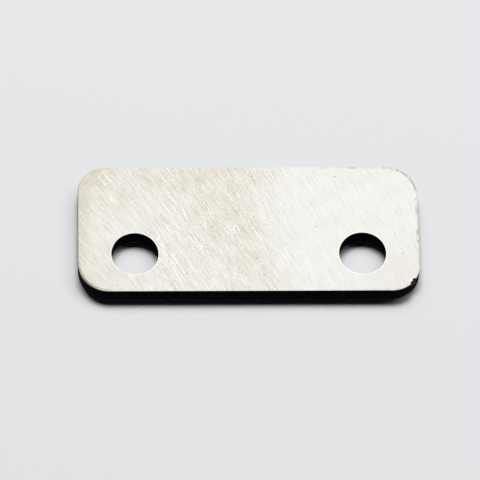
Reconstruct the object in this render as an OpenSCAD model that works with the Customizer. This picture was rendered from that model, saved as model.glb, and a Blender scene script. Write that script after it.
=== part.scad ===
// Lamp subplate: a flat steel backing plate with rounded corners and two bolt holes near its front edge.
// Millimetres. The plate lies on its back face, with that face's centre at the origin: X runs along the row of
// holes, -Y is the front edge beside the holes, and +Z is the normal of the linished face.

/* [Blank] */
// Length of the blank, along the row of holes
blank_length = 60; // [52:1:120]
// Depth of the blank, from the front edge to the back edge
blank_depth = 25; // [16:0.5:60]
// Thickness of the sheet
sheet_thickness = 3; // [2:0.5:8]
// Radius in plan of the front right and back left corners
corner_radius = 5; // [2:0.25:10]
// Radius in plan of the front left and back right corners, dressed rounder than the other two
dressed_radius = 5.6; // [2:0.1:10]

/* [Bolt holes] */
// Diameter of each bolt hole, a close clearance on an M8 bolt
hole_diameter = 8.2; // [4:0.1:10]
// Distance between the two hole centres
hole_spacing = 40; // [14:0.5:48]
// Distance from the front edge to the hole centres
hole_front_margin = 7.5; // [5.5:0.25:18]

/* [Edges] */
// Width of the broken edge around the outline, on both faces
outline_break = 0.1; // [0.05:0.05:0.6]
// Width of the broken edge around each hole, on both faces
rim_break = 0.1; // [0.05:0.05:0.5]

/* [Corner chip] */
// Bearing of the chip on the front right corner, turned from the end of the plate towards the front edge
chip_bearing = 39; // [25:1:65]
// Length of the chip along the edge
chip_length = 1.9; // [1.5:0.1:3]
// How far the chip reaches down the cut edge from the linished face
chip_drop = 1.3; // [0.6:0.1:1.8]
// Depth of the chip's main bite into the linished face
main_bite = 0.58; // [0.4:0.02:0.8]
// Distance of the main bite from the chip's middle, towards the end of the plate
main_bite_offset = 0.2; // [0.1:0.05:0.5]
// Depth of the second, shallower bite
second_bite = 0.46; // [0.3:0.02:0.6]
// Distance of the second bite from the chip's middle, towards the front edge
second_bite_offset = 0.55; // [0.4:0.05:0.65]
// Depth at the tooth left standing between the two bites
tooth_depth = 0.26; // [0.05:0.01:0.28]
// Distance of the tooth from the chip's middle, towards the front edge
tooth_offset = 0.2; // [0:0.05:0.3]

/* [Hidden] */

$fn = 96;

// Cutters run past the surfaces that they cut by this much
overshoot = 1;

// Half sizes of the blank, and the places of the hole centres
half_length = blank_length / 2;
half_depth = blank_depth / 2;
hole_x = hole_spacing / 2;
hole_y = hole_front_margin - half_depth;
hole_radius = hole_diameter / 2;

// The chip's root line leans out from the face until it meets the cut edge
chip_lean = atan2(main_bite, chip_drop);

// Half of the sheet's section, from the middle out to the given reach, with both outer edges broken
module half_section(reach) {
    polygon([
        [0, 0],
        [reach - outline_break, 0],
        [reach, outline_break],
        [reach, sheet_thickness - outline_break],
        [reach - outline_break, sheet_thickness],
        [0, sheet_thickness]
    ]);
}

// Quarter of the blank towards +X and +Y, with a round corner of the given radius
module quarter(radius) {
    straight_x = half_length - radius;
    straight_y = half_depth - radius;
    // Straight run of the long edge
    rotate([90, 0, 90])
        linear_extrude(straight_x)
            half_section(half_depth);
    // Straight run of the short edge
    translate([0, straight_y, 0])
        rotate([90, 0, 0])
            linear_extrude(straight_y)
                half_section(half_length);
    translate([straight_x, straight_y, 0])
        rotate_extrude()
            half_section(radius);
}

// The cut blank, with its outline edges broken and no holes yet
module blank() {
    quarter(dressed_radius);
    mirror([1, 0, 0])
        quarter(corner_radius);
    mirror([0, 1, 0])
        quarter(corner_radius);
    mirror([1, 0, 0])
        mirror([0, 1, 0])
            quarter(dressed_radius);
}

// Cutter for one broken rim, widening towards the back face at Z 0
module rim_cutter() {
    rotate_extrude()
        polygon([
            [0, 0],
            [hole_radius + rim_break, 0],
            [hole_radius, rim_break],
            [0, rim_break]
        ]);
}

// Cutter for one bolt hole, with a broken rim at each face
module hole_cutter() {
    translate([0, 0, -overshoot])
        cylinder(r = hole_radius, h = sheet_thickness + 2 * overshoot);
    rim_cutter();
    translate([0, 0, sheet_thickness])
        mirror([0, 0, 1])
            rim_cutter();
}

// Cutter for the chip: a ragged two-bite notch that runs out down the cut edge
module chip_cutter() {
    chip_end = chip_length / 2;
    ragged = [
        [-chip_end, 0],
        [-main_bite_offset, main_bite],
        [tooth_offset, tooth_depth],
        [second_bite_offset, second_bite],
        [chip_end, 0]
    ];
    reach_out = [for (end = [len(ragged) - 1, 0]) [ragged[end][0], -overshoot]];
    translate([half_length - corner_radius, corner_radius - half_depth, sheet_thickness])
        rotate(-chip_bearing)
            translate([corner_radius, 0, 0])
                rotate([0, -chip_lean, 0])
                    translate([0, 0, -chip_drop - overshoot])
                        linear_extrude(chip_drop + 2 * overshoot)
                            polygon([for (p = concat(ragged, reach_out)) [-p[1], -p[0]]]);
}

// The finished subplate, one piece of sheet
module subplate() {
    color("gainsboro")
        difference() {
            blank();
            for (side = [-1, 1])
                translate([side * hole_x, hole_y, 0])
                    hole_cutter();
            chip_cutter();
        }
}

subplate();
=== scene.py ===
import math

import bmesh
import bpy
from mathutils import Matrix, Vector, noise


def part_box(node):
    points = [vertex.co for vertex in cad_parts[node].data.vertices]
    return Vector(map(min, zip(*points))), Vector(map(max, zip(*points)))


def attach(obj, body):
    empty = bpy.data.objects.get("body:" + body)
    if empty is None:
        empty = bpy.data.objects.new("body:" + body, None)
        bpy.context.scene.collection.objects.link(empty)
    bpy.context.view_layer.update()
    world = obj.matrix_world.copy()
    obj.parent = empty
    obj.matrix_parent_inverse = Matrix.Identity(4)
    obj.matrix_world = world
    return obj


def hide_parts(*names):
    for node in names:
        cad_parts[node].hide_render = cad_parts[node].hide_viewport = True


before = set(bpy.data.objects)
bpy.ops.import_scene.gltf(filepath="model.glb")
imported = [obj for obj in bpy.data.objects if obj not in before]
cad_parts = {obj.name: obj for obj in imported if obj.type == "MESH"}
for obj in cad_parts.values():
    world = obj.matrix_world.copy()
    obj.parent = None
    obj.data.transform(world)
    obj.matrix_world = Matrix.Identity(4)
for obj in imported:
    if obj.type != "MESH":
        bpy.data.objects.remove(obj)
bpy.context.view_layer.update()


# The plate is one piece of steel sheet, cut through at right angles along its outline and holes.
# The cut leaves fine upright drag lines in the walls, and a light dressing rounds every edge.
# The upper edge of the front right corner has lost a ragged chip in two bites. Sizes are in millimetres.
MM = 0.001

plate_low, plate_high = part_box("subplate")
plate_length, plate_depth, sheet_thickness = (side / MM for side in plate_high - plate_low)
corner_radius = 5.0
dressed_radius = 5.6

hole_radius = 4.1
hole_spacing = 40.0
hole_front_margin = 7.5
hole_y = hole_front_margin - plate_depth / 2

# Rounding of the edges, how it varies along them, and the steps that the walls are built in
outline_round = 0.07
rim_round = 0.1
round_swing = 0.3
round_patch = 4.0
back_round_share = 0.8
station_step = 0.11
chip_step = 0.03
round_steps = 4
wall_steps = 9

# The front left corner's upper edge is worn rounder
worn_inset = 1.5
worn_spot = (worn_inset - plate_length / 2, worn_inset - plate_depth / 2)
worn_reach = 4.5
worn_round = 0.24

# The chip, as distances along and in from the tangent at its middle
chip_bearing = 39.0
chip_length = 1.9
chip_drop = 1.3
main_bite = 0.58
main_bite_offset = 0.2
second_bite = 0.46
second_bite_offset = 0.55
tooth_depth = 0.26
tooth_offset = 0.2
chip_outline = [
    (-chip_length / 2, 0.0),
    (-main_bite_offset, main_bite),
    (tooth_offset, tooth_depth),
    (second_bite_offset, second_bite),
    (chip_length / 2, 0.0),
]
chip_grain = 0.05
chip_grain_width = 0.16
chip_crumb = 0.5 * chip_grain
chip_crumb_width = 0.06
chip_ragged_from = 0.1
chip_turn = math.radians(-chip_bearing)
chip_middle = (
    plate_length / 2 - corner_radius + corner_radius * math.cos(chip_turn),
    corner_radius - plate_depth / 2 + corner_radius * math.sin(chip_turn),
    sheet_thickness,
)


def noise_at(x, y, z, size, seed):
    """Smooth noise from -1 to 1, with features of about the given size. Each seed gives another pattern."""
    pattern = Vector((seed, 2.3 * seed, 0.7 * seed))
    return noise.noise(Vector((x, y, z)) / size + pattern)


drag_depth = 0.01
fine_drag_width = 0.24
fine_drag_slant = 0.05
coarse_drag_width = 0.8
coarse_drag_slant = 0.3


def drag_lines(x, y, z):
    """How far the cut wall lies back from its nominal place: fine lines, coarser towards the back face."""
    sunk = 1 - z / sheet_thickness
    fine = 1 + noise_at(x, y, fine_drag_slant * z, fine_drag_width, seed=3.1)
    coarse = 1 + noise_at(x, y, coarse_drag_slant * z, coarse_drag_width, seed=8.6)
    return drag_depth * fine + drag_depth * sunk * coarse


def on_corner(aside, in_from_tangent):
    """A point of the chip's outline as its distance round the corner's arc and its depth in from the arc."""
    from_centre = Vector((aside, corner_radius - in_from_tangent))
    return corner_radius * math.atan2(*from_centre), corner_radius - from_centre.length


chip_edge = [on_corner(*point) for point in chip_outline]


def chip_depth(along, x, y, z):
    """How far the chip has eaten in at this height, or nothing clear of it."""
    for (a, depth_a), (b, depth_b) in zip(chip_edge, chip_edge[1:]):
        if a <= along < b:
            depth = depth_a + (depth_b - depth_a) * (along - a) / (b - a)
            break
    else:
        return 0.0
    if depth <= 0:
        return 0.0
    lean = main_bite / chip_drop
    ragged = chip_grain * noise_at(x, y, z, chip_grain_width, seed=5.2)
    ragged += chip_crumb * noise_at(x, y, z, chip_crumb_width, seed=1.4)
    return depth - lean * (sheet_thickness - z) + min(1, depth / chip_ragged_from) * ragged


def wall_section(x, y, edge_round, along=None):
    """One line down the cut wall, as (set-back, height, chipped) from the upper face to the back face."""
    worn = max(0, 1 - math.hypot(x - worn_spot[0], y - worn_spot[1]) / worn_reach)
    upper = edge_round * (1 + round_swing * noise_at(x, y, 0, round_patch, seed=1.7)) + worn_round * worn
    lower = back_round_share * edge_round
    turns = [0.5 * math.pi * k / round_steps for k in range(round_steps + 1)]
    arc = [(1 - math.sin(a), 1 - math.cos(a), math.sin(a)) for a in turns]
    rows = [(upper * inset, sheet_thickness - upper * drop, share) for inset, drop, share in arc]
    top, bottom = sheet_thickness - upper, lower
    rows += [(0, top + (bottom - top) * k / wall_steps, 1) for k in range(1, wall_steps)]
    rows += [(lower * inset, lower * drop, share) for inset, drop, share in reversed(arc)]
    section = []
    for set_back, z, wall_share in rows:
        set_back += wall_share * drag_lines(x, y, z)
        eaten = chip_depth(along, x, y, z) if along is not None else 0.0
        section.append((max(set_back, eaten), z, eaten > set_back))
    return section


def outline_walls():
    """Wall sections round the outline, anticlockwise from the end of the front edge's straight run."""
    corners = [(1, -1, corner_radius), (1, 1, dressed_radius)]
    corners += [(-1, 1, corner_radius), (-1, -1, dressed_radius)]
    walls = []
    for quarter, (side_x, side_y, radius) in enumerate(corners):
        centre = Vector((side_x * (plate_length / 2 - radius), side_y * (plate_depth / 2 - radius)))
        start = math.radians(90 * quarter - 90)
        count = round(0.5 * math.pi * radius / (chip_step if quarter == 0 else station_step))
        for k in range(count):
            angle = start + 0.5 * math.pi * k / count
            out = Vector((math.cos(angle), math.sin(angle)))
            spot = centre + radius * out
            along = radius * (chip_turn - angle) if quarter == 0 else None
            walls.append((spot, -out, wall_section(*spot, outline_round, along)))
        out = Vector((math.cos(start + 0.5 * math.pi), math.sin(start + 0.5 * math.pi)))
        ahead = Vector((-out.y, out.x))
        next_radius = corners[(quarter + 1) % 4][2]
        run = (plate_depth if quarter % 2 == 0 else plate_length) - radius - next_radius
        count = round(run / station_step)
        for k in range(count):
            spot = centre + radius * out + ahead * (run * k / count)
            walls.append((spot, -out, wall_section(*spot, outline_round)))
    return walls


def hole_walls(centre_x):
    """Wall sections round one bolt hole, clockwise, so that its faces look into the hole."""
    count = round(2 * math.pi * hole_radius / station_step)
    walls = []
    for k in range(count):
        angle = -2 * math.pi * k / count
        out = Vector((math.cos(angle), math.sin(angle)))
        spot = Vector((centre_x, hole_y)) + hole_radius * out
        walls.append((spot, out, wall_section(*spot, rim_round)))
    return walls


# The walls are skinned between their sections and the two faces filled in, each with its own finish.
# The bright face runs on over the rounded edge, further round the outline than round the hole rims.
LINISHED, CUT, BACK, BREAK = range(4)
plate_mesh = bpy.data.meshes.new("subplate_steel")
bm = bmesh.new()
upper_edges, back_edges = [], []
all_walls = [(outline_walls(), round_steps - 1)]
all_walls += [(hole_walls(side * hole_spacing / 2), round_steps - 2) for side in (-1, 1)]
for walls, bright_rows in all_walls:
    columns = []
    for spot, inward, section in walls:
        column = []
        for set_back, z, chipped in section:
            x, y = spot + inward * set_back
            column.append((bm.verts.new((x * MM, y * MM, z * MM)), chipped))
        columns.append(column)
    for here, after in zip(columns, columns[1:] + columns[:1]):
        rows = len(here) - 1
        for row in range(rows):
            corners = (here[row], here[row + 1], after[row + 1], after[row])
            wall = bm.faces.new([vert for vert, _ in corners])
            wall.smooth = True
            wall.material_index = LINISHED if row < bright_rows else CUT
            if any(chipped for _, chipped in corners):
                wall.material_index = BREAK
            if row > rows - round_steps:
                wall.material_index = BACK
        upper_edges.append(bm.edges.get((here[0][0], after[0][0])))
        back_edges.append(bm.edges.get((here[-1][0], after[-1][0])))
for edges, finish in ((upper_edges, LINISHED), (back_edges, BACK)):
    filled = bmesh.ops.triangle_fill(bm, edges=edges, use_beauty=True)
    for piece in filled["geom"]:
        if isinstance(piece, bmesh.types.BMFace):
            piece.material_index = finish
bmesh.ops.recalc_face_normals(bm, faces=bm.faces)
bm.to_mesh(plate_mesh)
bm.free()
plate = bpy.data.objects.new("subplate_steel", plate_mesh)
bpy.context.scene.collection.objects.link(plate)


# Abrasive lay: the streaks that a belt leaves in steel, along y = -(Slope + Fan x) x in millimetres.
# Hair is the finest lay, and Fine, Medium and Long are streaks of growing length. Broad tells where the belt
# bit more or less, and the scores are single deeper cuts, some bright and some dark.
def place(tree, kind, inputs=None, **settings):
    """Adds a node with its settings, and sets or links its inputs."""
    node = tree.nodes.new(kind)
    for name, value in settings.items():
        setattr(node, name, value)
    for key, value in (inputs or {}).items():
        if isinstance(value, bpy.types.NodeSocket):
            tree.links.new(value, node.inputs[key])
        else:
            node.inputs[key].default_value = value
    return node


def calc(tree, operation, *values, clamp=False):
    """One sum on values or sockets."""
    sums = dict(enumerate(values))
    return place(tree, "ShaderNodeMath", sums, operation=operation, use_clamp=clamp).outputs[0]


def ramp(tree, value, span, shares=(0.0, 1.0)):
    """A smooth step from the first share to the second, as the value crosses the span."""
    inputs = {"Value": value, "From Min": span[0], "From Max": span[1]}
    inputs.update({"To Min": shares[0], "To Max": shares[1]})
    return place(tree, "ShaderNodeMapRange", inputs, interpolation_type="SMOOTHSTEP").outputs[0]


def flat_place(tree):
    """The place on the plate in millimetres, as a vector and as X, Y and Z."""
    spot = place(tree, "ShaderNodeTexCoord").outputs["Object"]
    scaled = place(tree, "ShaderNodeVectorMath", {0: spot, "Scale": 1 / MM}, operation="SCALE").outputs[0]
    return scaled, place(tree, "ShaderNodeSeparateXYZ", {0: scaled}).outputs


def new_group(name, inputs, outputs):
    """A shader group with number sockets. Returns the tree, its input sockets and its output node."""
    tree = bpy.data.node_groups.new(name, "ShaderNodeTree")
    for socket in inputs:
        tree.interface.new_socket(socket, in_out="INPUT", socket_type="NodeSocketFloat")
    for socket in outputs:
        tree.interface.new_socket(socket, in_out="OUTPUT", socket_type="NodeSocketFloat")
    return tree, tree.nodes.new("NodeGroupInput").outputs, tree.nodes.new("NodeGroupOutput")


lay, asked, given = new_group(
    "abrasive_lay",
    ["Slope", "Fan", "Streak width", "Streak length"],
    ["Hair", "Fine", "Medium", "Long", "Broad", "Light score", "Dark score"],
)
_, (lay_x, lay_y, _) = flat_place(lay)
steep = calc(lay, "MULTIPLY_ADD", asked["Fan"], lay_x, asked["Slope"])
across = calc(lay, "MULTIPLY_ADD", steep, lay_x, lay_y)
square = calc(lay, "SQRT", calc(lay, "MULTIPLY_ADD", asked["Slope"], asked["Slope"], 1.0))
lay_v = calc(lay, "DIVIDE", across, square)
along = calc(lay, "SUBTRACT", calc(lay, "MULTIPLY", asked["Slope"], lay_y), lay_x)
lay_u = calc(lay, "DIVIDE", along, square)

streak_roughness = 0.55
score_width = 0.1
score_flanks = (0.3 * score_width, 0.7 * score_width)
score_run = (0.1, 0.45)


def streak_noise(length_share, width_share, shift, detail=0.0):
    """Streaks along the lay, as shares of the streak length and width that the group is asked for."""
    u = calc(lay, "DIVIDE", lay_u, calc(lay, "MULTIPLY", asked["Streak length"], length_share))
    v = calc(lay, "DIVIDE", lay_v, calc(lay, "MULTIPLY", asked["Streak width"], width_share))
    spot = place(lay, "ShaderNodeCombineXYZ", {0: calc(lay, "ADD", u, shift), 1: v}).outputs[0]
    setting = {"Vector": spot, "Scale": 1.0, "Detail": detail, "Roughness": streak_roughness}
    return place(lay, "ShaderNodeTexNoise", setting, noise_dimensions="2D").outputs["Fac"]


def score_mask(length, spread, shift):
    """Single scores along the lay, each of its own depth, of about the given length and spread apart."""
    u = calc(lay, "ADD", calc(lay, "DIVIDE", lay_u, length), shift)
    v = calc(lay, "ADD", calc(lay, "DIVIDE", lay_v, spread), shift)
    spot = place(lay, "ShaderNodeCombineXYZ", {0: u, 1: v}).outputs[0]
    cell = place(lay, "ShaderNodeTexVoronoi", {"Vector": spot, "Scale": 1.0}, voronoi_dimensions="2D").outputs
    away = place(lay, "ShaderNodeVectorMath", {0: spot, 1: cell["Position"]}, operation="SUBTRACT").outputs[0]
    far_u, far_v, _ = place(lay, "ShaderNodeSeparateXYZ", {0: away}).outputs
    off_line = calc(lay, "MULTIPLY", calc(lay, "ABSOLUTE", far_v), spread)
    on_line = ramp(lay, off_line, score_flanks, shares=(1.0, 0.0))
    on_run = ramp(lay, calc(lay, "ABSOLUTE", far_u), score_run, shares=(1.0, 0.0))
    depth = place(lay, "ShaderNodeSeparateColor", {0: cell["Color"]}).outputs[0]
    return calc(lay, "MULTIPLY", calc(lay, "MULTIPLY", on_line, on_run), depth)


lay_runs = {
    "Hair": streak_noise(length_share=0.6, width_share=0.18, shift=7.3),
    "Fine": streak_noise(length_share=0.08, width_share=0.8, shift=0.0),
    "Medium": streak_noise(length_share=0.45, width_share=0.9, shift=17.9),
    "Long": streak_noise(length_share=2.0, width_share=0.95, shift=31.7),
    "Broad": streak_noise(length_share=1.6, width_share=5.0, shift=57.3, detail=2.0),
    "Light score": score_mask(length=4.6, spread=0.4, shift=0.37),
    "Dark score": score_mask(length=4.2, spread=0.38, shift=5.91),
}
for name, run in lay_runs.items():
    lay.links.new(run, given.inputs[name])


# Distance in from the plate's outline, in millimetres, for the stains and lines that gather along its edges.
# It follows the straight sides and the two sizes of rounded corner that the blank is cut to.
rim, _, rim_out = new_group("outline_distance", [], ["Distance"])
_, (rim_x, rim_y, _) = flat_place(rim)
at_dressed = calc(rim, "GREATER_THAN", calc(rim, "MULTIPLY", rim_x, rim_y), 0.0)
radius = calc(rim, "MULTIPLY_ADD", at_dressed, dressed_radius - corner_radius, corner_radius)
past_x = calc(rim, "ADD", calc(rim, "SUBTRACT", calc(rim, "ABSOLUTE", rim_x), plate_length / 2), radius)
past_y = calc(rim, "ADD", calc(rim, "SUBTRACT", calc(rim, "ABSOLUTE", rim_y), plate_depth / 2), radius)
outer_x = calc(rim, "MAXIMUM", past_x, 0.0)
outer_y = calc(rim, "MAXIMUM", past_y, 0.0)
squares = calc(rim, "MULTIPLY_ADD", outer_x, outer_x, calc(rim, "MULTIPLY", outer_y, outer_y))
inner = calc(rim, "MINIMUM", calc(rim, "MAXIMUM", past_x, past_y), 0.0)
reach = calc(rim, "ADD", calc(rim, "SQRT", squares), inner)
rim.links.new(calc(rim, "SUBTRACT", radius, reach), rim_out.inputs["Distance"])


# The upper face is linished bright on a belt, in slanting passes that overlap: the last pass has left the
# right-hand third cleaner and smoother, and that third is also painted paler, as a painted highlight where
# the lamp's reflection is stronger. Older streaks and a brown bloom stay to the left of it, in the far
# left corner and along the edges, and a few dark pits are left in the sheet.
def new_finish(name, metallic, specular):
    """A material on the plate, with one Principled shader. Returns its tree and that shader."""
    finish = bpy.data.materials.new(name)
    finish.use_nodes = True
    shader = finish.node_tree.nodes["Principled BSDF"]
    shader.inputs["Metallic"].default_value = metallic
    shader.inputs["Specular IOR Level"].default_value = specular
    plate_mesh.materials.append(finish)
    return finish.node_tree, shader


def tint(tree, share, first, second):
    """The first colour, going over to the second by the share."""
    first_socket, second_socket, mixed_socket = 6, 7, 2
    colours = {0: share}
    for key, colour in ((first_socket, first), (second_socket, second)):
        colours[key] = colour if isinstance(colour, bpy.types.NodeSocket) else (*colour, 1)
    return place(tree, "ShaderNodeMix", colours, data_type="RGBA").outputs[mixed_socket]


def clouds(tree, size, detail, shift, rough=0.55):
    """Soft blotches of about the given size in millimetres, from 0 to 1."""
    spot, _ = flat_place(tree)
    shifted = {0: spot, 1: (shift, -shift, shift)}
    moved = place(tree, "ShaderNodeVectorMath", shifted, operation="ADD").outputs[0]
    setting = {"Vector": moved, "Scale": 1 / size, "Detail": detail, "Roughness": rough}
    return place(tree, "ShaderNodeTexNoise", setting).outputs["Fac"]


def lay_grain(tree, slope, fan, width, length):
    """The abrasive lay in one material, with its own direction, streak width and streak length."""
    asked_for = {"Slope": slope, "Fan": fan, "Streak width": width, "Streak length": length}
    return place(tree, "ShaderNodeGroup", asked_for, node_tree=lay).outputs


face, steel = new_finish("linished_steel", metallic=1.0, specular=0.5)
grain = lay_grain(face, slope=1.92, fan=0.0107, width=0.26, length=5.5)
edge_distance = place(face, "ShaderNodeGroup", node_tree=rim).outputs["Distance"]
face_spot, (face_x, face_y, _) = flat_place(face)

# The last pass of the belt: its left side slants and is ragged, and it stands back along the back edge. Its
# paler steel is partly real and partly a painted highlight.
older_steel = (0.647, 0.642, 0.61)
# Painted highlight: the cleaned steel is painted paler where the lamp's reflection on the face is stronger
cleaned_steel_and_highlight = (0.664, 0.66, 0.637)
pass_slant = 0.25
pass_blots = 5.0
pass_streaks = 9.0
pass_stand_back = -4.0
stand_back_strip = (6.0, 12.0)
pass_side = (5.0, 17.0)
pass_reach = calc(face, "MULTIPLY_ADD", face_y, pass_slant, face_x)
pass_blotches = clouds(face, size=5.0, detail=3.0, shift=3.0)
pass_reach = calc(face, "MULTIPLY_ADD", pass_blotches, pass_blots, pass_reach)
pass_reach = calc(face, "MULTIPLY_ADD", grain["Broad"], pass_streaks, pass_reach)
pass_reach = calc(face, "MULTIPLY_ADD", ramp(face, face_y, stand_back_strip), pass_stand_back, pass_reach)
last_pass = ramp(face, pass_reach, pass_side)
pass_steel_and_highlight = tint(face, last_pass, older_steel, cleaned_steel_and_highlight)

# Brown bloom in a slanting trough beside the last pass, along the back edge and in the far left corner
bloom_brown = (0.49, 0.435, 0.31)
trough_slant = 0.42
trough_shift = 3.5
trough_reach = (1.0, 9.0)
trough_front = (-12.0, 3.0)
trough_back = (5.0, 12.0)
to_trough = calc(face, "ADD", calc(face, "MULTIPLY_ADD", face_y, trough_slant, face_x), trough_shift)
beside_pass = ramp(face, calc(face, "ABSOLUTE", to_trough), trough_reach, shares=(0.9, 0.25))
beside_pass = calc(face, "MULTIPLY", beside_pass, ramp(face, face_y, trough_front, shares=(0.5, 1.0)))
beside_pass = calc(face, "MULTIPLY", beside_pass, ramp(face, face_y, trough_back, shares=(1.0, 0.6)))
back_strip = (3.5, 11.0)
back_strip_fade = (-10.0, 6.0)
back_fade = ramp(face, face_x, back_strip_fade, shares=(1.0, 0.55))
back_band = calc(face, "MULTIPLY", ramp(face, face_y, back_strip), back_fade)
far_corner_slope = (-0.35, 0.6)
far_corner_reach = (7.0, 14.0)
far_corner_rise = calc(face, "MULTIPLY", face_y, far_corner_slope[1])
to_far_corner = calc(face, "MULTIPLY_ADD", face_x, far_corner_slope[0], far_corner_rise)
far_corner = ramp(face, to_far_corner, far_corner_reach, shares=(0.0, 0.9))
bloom_blotches = clouds(face, size=2.6, detail=4.0, shift=11.0, rough=0.65)
blotches = ramp(face, bloom_blotches, span=(0.35, 0.66), shares=(0.3, 1.0))
bloom = calc(face, "MAXIMUM", calc(face, "MAXIMUM", beside_pass, back_band), far_corner)
bloom = calc(face, "MULTIPLY", bloom, blotches)
bloom = calc(face, "MULTIPLY", bloom, ramp(face, last_pass, span=(0.0, 1.0), shares=(0.36, 0.06)))
bloomed = tint(face, bloom, pass_steel_and_highlight, bloom_brown)

# A thin stain at the left end, and a fainter one towards the front of both ends
stain_brown = (0.44, 0.39, 0.3)
stain_wander = -2.0
left_end_strip = (-24.0, -27.5)
both_end_strips = (17.0, 26.0)
front_strip = (-1.0, -8.0)
stain_blotches = clouds(face, size=2.5, detail=3.0, shift=23.0)
near_edge = calc(face, "MULTIPLY_ADD", stain_blotches, stain_wander, edge_distance)
left_end = ramp(face, face_x, left_end_strip)
left_stain = calc(face, "MULTIPLY", left_end, ramp(face, near_edge, span=(-1.0, 2.0), shares=(0.28, 0.0)))
at_ends = ramp(face, calc(face, "ABSOLUTE", face_x), both_end_strips)
front_stain = calc(face, "MULTIPLY", at_ends, ramp(face, face_y, front_strip, shares=(0.0, 0.1)))
stained = tint(face, calc(face, "MAXIMUM", left_stain, front_stain), bloomed, stain_brown)

# The streaks, stronger where the belt bit more, calmer in the last pass and at the left end
streak_light = (0.97, 0.96, 0.93)
streak_dark = (0.4, 0.33, 0.25)
light_share = 0.27
dark_share = -0.4
dark_score_weight = -1.2
calm_end = (-27.0, -10.0)
streak_strengths = {"Hair": 0.78, "Fine": 0.76, "Medium": 0.16, "Long": 0.2}
streak_middle = 0.5
streaks = 0.0
for run, strength in streak_strengths.items():
    streaks = calc(face, "MULTIPLY_ADD", calc(face, "SUBTRACT", grain[run], streak_middle), strength, streaks)
streaks = calc(face, "MULTIPLY", streaks, ramp(face, grain["Broad"], span=(0.36, 0.64), shares=(0.35, 1.2)))
streaks = calc(face, "MULTIPLY", streaks, ramp(face, last_pass, span=(0.0, 1.0), shares=(1.0, 0.5)))
scores = calc(face, "MULTIPLY_ADD", grain["Dark score"], dark_score_weight, grain["Light score"])
score_strength = ramp(face, last_pass, span=(0.0, 1.0), shares=(0.55, 0.3))
streaks = calc(face, "MULTIPLY_ADD", scores, score_strength, streaks)
streaks = calc(face, "MULTIPLY", streaks, ramp(face, face_x, calm_end, shares=(0.72, 1.0)))
light = tint(face, calc(face, "MULTIPLY", streaks, light_share, clamp=True), stained, streak_light)
dark = tint(face, calc(face, "MULTIPLY", streaks, dark_share, clamp=True), light, streak_dark)

# Small pits, each with its place on the face and its width
pit_brown = (0.26, 0.18, 0.11)
pit_shake = (0.4, 0.4, 0.0)
pits = [
    (27.2, -4.9, 0.24),
    (15.7, 10.7, 0.22),
    (1.7, -5.7, 0.24),
    (-10.8, -8.8, 0.22),
    (-9.7, -8.8, 0.2),
    (2.8, -9.2, 0.22),
    (12.2, 0.6, 0.2),
    (-0.4, -3.6, 0.18),
    (-14.0, -10.2, 0.18),
]
pit_noise = {"Vector": face_spot, "Scale": 4.0, "Detail": 2.0}
crooked = place(face, "ShaderNodeTexNoise", pit_noise).outputs["Color"]
shaken = {0: crooked, 1: pit_shake, 2: face_spot}
pit_place = place(face, "ShaderNodeVectorMath", shaken, operation="MULTIPLY_ADD").outputs[0]
pitted = dark
for pit_x, pit_y, pit_width in pits:
    to_pit = {0: pit_place, 1: (pit_x, pit_y, sheet_thickness)}
    pit_away = place(face, "ShaderNodeVectorMath", to_pit, operation="DISTANCE").outputs["Value"]
    in_pit = ramp(face, pit_away, (0.3 * pit_width, pit_width), shares=(0.4, 0.0))
    pitted = tint(face, in_pit, pitted, pit_brown)

# Lines along the edges: olive at the back right corner with rust specks about it, brown to the right (partly
# stain, partly painted shade), painted shade at the left end, ochre at the far left corner, and brown where
# the front left corner was dressed
olive = (0.31, 0.275, 0.19)
edge_brown_and_shade = (0.3, 0.26, 0.2)
speck_rust = (0.4, 0.31, 0.17)
left_end_shade_black = (0.03, 0.028, 0.028)
ochre = (0.56, 0.4, 0.16)
dressed_brown = (0.3, 0.21, 0.13)
olive_corner = (36.6, 38.9)
brown_and_shade_strip = (9.0, 22.0)
speck_corner = (23.0, 28.0)
left_end_shade_strip = (-29.4, -29.8)
ochre_corner = (15.0, 16.5)
dressed_corner = (-35.6, -38.2)
dressed_line_in = 0.26
dressed_break_share = 0.6
breaks = clouds(face, size=0.9, detail=3.0, shift=51.0, rough=0.6)
broken = ramp(face, breaks, span=(0.38, 0.56), shares=(0.15, 1.0))
on_edge = calc(face, "MULTIPLY", ramp(face, edge_distance, span=(0.2, 0.45), shares=(1.0, 0.0)), broken)
to_back_right = calc(face, "ADD", face_x, face_y)
olive_line = calc(face, "MULTIPLY", ramp(face, edge_distance, span=(0.26, 0.58), shares=(1.0, 0.0)), broken)
olive_line = calc(face, "MULTIPLY", olive_line, ramp(face, to_back_right, olive_corner, shares=(0.0, 0.52)))
lined = tint(face, olive_line, pitted, olive)
# Brown along the edges to the right: partly real staining, partly painted shade along the right end's edge
brown_and_shade_line = calc(face, "MULTIPLY", on_edge, ramp(face, face_x, brown_and_shade_strip, shares=(0.0, 0.15)))
lined = tint(face, brown_and_shade_line, lined, edge_brown_and_shade)
specks = ramp(face, clouds(face, size=1.5, detail=2.0, shift=33.0), span=(0.5, 0.6), shares=(0.0, 0.42))
specks = calc(face, "MULTIPLY", specks, ramp(face, edge_distance, span=(0.3, 0.5), shares=(1.0, 0.0)))
specks = calc(face, "MULTIPLY", specks, ramp(face, to_back_right, speck_corner))
lined = tint(face, specks, lined, speck_rust)
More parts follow.
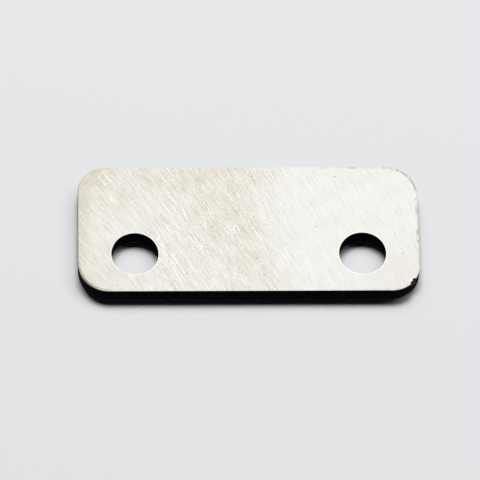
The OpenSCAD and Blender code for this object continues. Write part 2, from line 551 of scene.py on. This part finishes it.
# Painted shade: a dark line along the left end's edge, standing in for the contact shadow and the black wall
# seen edge-on there
at_shaded_left_end = ramp(face, face_x, left_end_shade_strip)
shaded_edge_band = ramp(face, edge_distance, span=(0.065, 0.12), shares=(0.95, 0.0))
left_end_painted_shade = calc(face, "MULTIPLY", at_shaded_left_end, shaded_edge_band)
lined = tint(face, left_end_painted_shade, lined, left_end_shade_black)
ochre_line = calc(face, "MULTIPLY", on_edge, ramp(face, to_far_corner, ochre_corner, shares=(0.0, 0.28)))
ochred = tint(face, ochre_line, lined, ochre)
off_dressed_line = calc(face, "ABSOLUTE", calc(face, "SUBTRACT", edge_distance, dressed_line_in))
dressed_in = ramp(face, off_dressed_line, span=(0.06, 0.18), shares=(1.0, 0.0))
dressed_in = calc(face, "MULTIPLY", dressed_in, ramp(face, to_back_right, dressed_corner, shares=(0.0, 0.8)))
dressed_breaks = calc(face, "MULTIPLY_ADD", broken, dressed_break_share, 1 - dressed_break_share)
dressed_in = calc(face, "MULTIPLY", dressed_in, dressed_breaks)
rounded = tint(face, dressed_in, ochred, dressed_brown)

# Painted highlights: a bright line round the hole rims, and a paler line on the ridge beside the chip
rim_highlight_colour = (0.97, 0.96, 0.92)
ridge_highlight_colour = (0.75, 0.75, 0.745)
rim_highlight_reach = (0.12, 0.3)
ridge_highlight_reach = (0.6, 1.0)
hole_off = calc(face, "SUBTRACT", calc(face, "ABSOLUTE", face_x), hole_spacing / 2)
hole_rise = calc(face, "SUBTRACT", face_y, hole_y)
hole_square = calc(face, "MULTIPLY_ADD", hole_off, hole_off, calc(face, "MULTIPLY", hole_rise, hole_rise))
from_hole = calc(face, "SUBTRACT", calc(face, "SQRT", hole_square), hole_radius)
# Painted highlight round the hole rims
rim_highlighted = tint(face, ramp(face, from_hole, rim_highlight_reach, shares=(0.3, 0.0)), rounded, rim_highlight_colour)
to_chip = {0: face_spot, 1: chip_middle}
chip_away = place(face, "ShaderNodeVectorMath", to_chip, operation="DISTANCE").outputs["Value"]
# Painted highlight on the ridge beside the chip
ridge_highlighted = tint(face, ramp(face, chip_away, ridge_highlight_reach, shares=(0.8, 0.0)), rim_highlighted, ridge_highlight_colour)
face.links.new(ridge_highlighted, steel.inputs["Base Color"])

# Matt all over, a little smoother in the light streaks, and smooth on the dressed front left edge
face_roughness = 0.81
streak_polish = -0.1
streak_relief = 0.005
polished_corner = (-37.2, -38.8)
roughness = calc(face, "MULTIPLY_ADD", streaks, streak_polish, face_roughness)
dressed_rim = ramp(face, edge_distance, span=(0.12, 0.26), shares=(0.4, 0.0))
dressed_rim = calc(face, "MULTIPLY", dressed_rim, ramp(face, to_back_right, polished_corner))
roughness = calc(face, "SUBTRACT", roughness, dressed_rim)
face.links.new(roughness, steel.inputs["Roughness"])
bump = place(face, "ShaderNodeBump", {"Strength": 1.0, "Distance": streak_relief * MM, "Height": streaks})
face.links.new(bump.outputs[0], steel.inputs["Normal"])


# The cut walls and hole walls carry a thin black skin of scale from the cut, painted darker still as painted
# shade.
# It is matt, with upright drag lines and a few rust flecks, and it is painted a little paler towards the
# foot, as painted light where the foot gets less light.
scale_and_shade_black = (0.0011, 0.0012, 0.002)
scale_and_shade_grey = (0.011, 0.011, 0.0155)
foot_painted_light_grey = (0.0185, 0.0195, 0.0265)
fleck_rust = (0.075, 0.035, 0.018)
upright_stretch = (4.5, 4.5, 0.25)
foot_painted_light_span = (1.9, 0.2)
fleck_share = 0.5
scale_roughness = 0.7
line_roughness = 0.2
line_relief = 0.01
cut, scale_skin = new_finish("black_cut_edge", metallic=0.0, specular=0.02)
cut_spot, (_, _, cut_z) = flat_place(cut)
stretched = {0: cut_spot, 1: upright_stretch}
lines_at = place(cut, "ShaderNodeVectorMath", stretched, operation="MULTIPLY").outputs[0]
lines = place(cut, "ShaderNodeTexNoise", {"Vector": lines_at, "Scale": 1.0, "Detail": 3.0}).outputs["Fac"]
flecks = ramp(cut, clouds(cut, size=0.5, detail=4.0, shift=41.0, rough=0.7), span=(0.62, 0.8))
# Near-black wall colour: partly the real scale, partly painted shade
black = tint(cut, ramp(cut, lines, span=(0.45, 0.75)), scale_and_shade_black, scale_and_shade_grey)
# Painted light: the wall is painted paler towards its foot, where the shadowed floor gives it less light
black = tint(cut, ramp(cut, cut_z, foot_painted_light_span, shares=(0.0, 0.55)), black, foot_painted_light_grey)
rusted = tint(cut, calc(cut, "MULTIPLY", flecks, fleck_share), black, fleck_rust)
cut.links.new(rusted, scale_skin.inputs["Base Color"])
cut_roughness = calc(cut, "MULTIPLY_ADD", lines, line_roughness, scale_roughness)
cut.links.new(cut_roughness, scale_skin.inputs["Roughness"])
bump = place(cut, "ShaderNodeBump", {"Strength": 0.6, "Distance": line_relief * MM, "Height": lines})
cut.links.new(bump.outputs[0], scale_skin.inputs["Normal"])


# The back face keeps the dull grey skin of the rolled sheet, with a faint grain along its length
# and a little brown staining towards the edges.
mill_dark = (0.3, 0.29, 0.275)
mill_light = (0.46, 0.45, 0.43)
mottle_grey = (0.25, 0.235, 0.215)
back_brown = (0.1, 0.07, 0.045)
back_wander = -1.6
mill_roughness = 0.5
mottle_roughness = 0.2
mill_relief = 0.008
back, mill = new_finish("rolled_back", metallic=1.0, specular=0.5)
back_grain = lay_grain(back, slope=0.04, fan=0.0, width=0.35, length=9.0)
edge_distance = place(back, "ShaderNodeGroup", node_tree=rim).outputs["Distance"]
grey = tint(back, back_grain["Long"], mill_dark, mill_light)
mottle = ramp(back, clouds(back, size=5.0, detail=4.0, shift=61.0), span=(0.35, 0.75), shares=(0.0, 0.5))
mottled = tint(back, mottle, grey, mottle_grey)
back_blotches = clouds(back, size=3.0, detail=3.0, shift=71.0)
near_edge = calc(back, "MULTIPLY_ADD", back_blotches, back_wander, edge_distance)
back_stained = tint(back, ramp(back, near_edge, span=(-0.9, 0.3), shares=(0.7, 0.0)), mottled, back_brown)
back.links.new(back_stained, mill.inputs["Base Color"])
back.links.new(calc(back, "MULTIPLY_ADD", mottle, mottle_roughness, mill_roughness), mill.inputs["Roughness"])
back_relief = {"Strength": 0.5, "Distance": mill_relief * MM, "Height": back_grain["Fine"]}
bump = place(back, "ShaderNodeBump", back_relief)
back.links.new(bump.outputs[0], mill.inputs["Normal"])


# The chip's break is the bare metal inside the sheet, left as it tore: dark, coarse and grainy,
# with a little rust in patches.
break_dark = (0.02, 0.024, 0.03)
break_grey = (0.09, 0.1, 0.115)
break_rust = (0.07, 0.045, 0.025)
crystal_relief = 0.02
broke, torn = new_finish("chip_break", metallic=0.0, specular=0.1)
crystals = clouds(broke, size=0.18, detail=3.0, shift=83.0, rough=0.6)
grey_break = tint(broke, ramp(broke, crystals, span=(0.35, 0.65)), break_dark, break_grey)
rust_patch = ramp(broke, clouds(broke, size=0.6, detail=2.0, shift=91.0), span=(0.5, 0.65), shares=(0.0, 0.6))
broke.links.new(tint(broke, rust_patch, grey_break, break_rust), torn.inputs["Base Color"])
broke.links.new(ramp(broke, crystals, span=(0.3, 0.7), shares=(0.75, 0.5)), torn.inputs["Roughness"])
bump = place(broke, "ShaderNodeBump", {"Strength": 0.8, "Distance": crystal_relief * MM, "Height": crystals})
broke.links.new(bump.outputs[0], torn.inputs["Normal"])

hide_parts("subplate")
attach(plate, "root")


# The stage: a plain pale board, two soft lamps high behind the plate, and a dim room with a pale background.
# The camera looks down on the plate from the front, a little from the left. Stage sizes are in metres.
floor_side = 6.0
board_white = (0.777, 0.781, 0.799, 1)
board_roughness = 0.9
board_gloss = 0.1
bpy.ops.mesh.primitive_plane_add(size=floor_side, location=(0, 0, plate_low.z))
floor = bpy.context.object
floor.name = "floor"
board = bpy.data.materials.new("pale_board")
board.use_nodes = True
board_shader = board.node_tree.nodes["Principled BSDF"]
board_shader.inputs["Base Color"].default_value = board_white
board_shader.inputs["Roughness"].default_value = board_roughness
board_shader.inputs["Specular IOR Level"].default_value = board_gloss
floor.data.materials.append(board)

lamp_distance = 2.4


def hang_lamp(name, rise, swing, width, height, power):
    """A soft lamp behind the plate, turned to it. Its rise, and its swing to the right, are in degrees."""
    lamp_height = math.radians(rise)
    lamp = bpy.data.lights.new(name, "AREA")
    lamp.shape = "RECTANGLE"
    lamp.size = width
    lamp.size_y = height
    lamp.energy = power
    holder = bpy.data.objects.new(name, lamp)
    aside = math.tan(math.radians(swing)) * math.sin(lamp_height)
    towards = Vector((aside, math.cos(lamp_height), math.sin(lamp_height)))
    holder.location = lamp_distance * towards
    holder.rotation_euler = towards.to_track_quat("Z", "Y").to_euler()
    bpy.context.scene.collection.objects.link(holder)


hang_lamp("near_lamp", rise=62.9, swing=-0.5, width=1.11, height=0.61, power=41.0)
hang_lamp("wide_lamp", rise=55.7, swing=12.8, width=3.7, height=0.85, power=38.5)

room_light = {"Color": (0.95, 0.97, 1.0, 1), "Strength": 0.004}
room_backdrop = {"Color": (0.42, 0.425, 0.43, 1), "Strength": 1.0}
world = bpy.data.worlds.new("room")
world.use_nodes = True
room = world.node_tree
room.nodes.clear()
ray = place(room, "ShaderNodeLightPath").outputs
shown = calc(room, "MAXIMUM", ray["Is Camera Ray"], ray["Is Glossy Ray"])
shown = calc(room, "MAXIMUM", shown, ray["Is Transmission Ray"])
dim = place(room, "ShaderNodeBackground", room_light).outputs[0]
pale = place(room, "ShaderNodeBackground", room_backdrop).outputs[0]
mixed = place(room, "ShaderNodeMixShader", {0: shown, 1: dim, 2: pale}).outputs[0]
place(room, "ShaderNodeOutputWorld", {"Surface": mixed})
bpy.context.scene.world = world

# The camera's distance, lens and sensor are in millimetres, and the face's middle is in pixels of the frame
camera_bearing = math.radians(-4.08)
camera_height = math.radians(60.55)
camera_roll = math.radians(-3.38)
camera_distance = 891.2
camera_lens = 379.8
sensor_width = 36.0
nearest_seen = 0.01
frame_pixels = 480.0
frame_middle = frame_pixels / 2
frame_scale = frame_pixels * camera_lens / (sensor_width * camera_distance)
face_middle_in_frame = (248.3, 228.6)

back_dir = Vector(
    (
        math.sin(camera_bearing) * math.cos(camera_height),
        -math.cos(camera_bearing) * math.cos(camera_height),
        math.sin(camera_height),
    )
)
level_right = Vector((math.cos(camera_bearing), math.sin(camera_bearing), 0))
level_up = back_dir.cross(level_right)
right = math.cos(camera_roll) * level_right - math.sin(camera_roll) * level_up
up = math.sin(camera_roll) * level_right + math.cos(camera_roll) * level_up
aim = Vector((0, 0, sheet_thickness))
aim += right * ((frame_middle - face_middle_in_frame[0]) / frame_scale)
aim += up * ((face_middle_in_frame[1] - frame_middle) / frame_scale)
camera_data = bpy.data.cameras.new("camera")
camera_data.lens = camera_lens
camera_data.sensor_width = sensor_width
camera_data.clip_start = nearest_seen
camera = bpy.data.objects.new("camera", camera_data)
turned_to = Matrix((right, up, back_dir)).transposed().to_4x4()
camera.matrix_world = Matrix.Translation((aim + back_dir * camera_distance) * MM) @ turned_to
bpy.context.scene.collection.objects.link(camera)
bpy.context.scene.camera = camera

bpy.context.scene.view_settings.view_transform = "Standard"

bpy.context.view_layer.update()
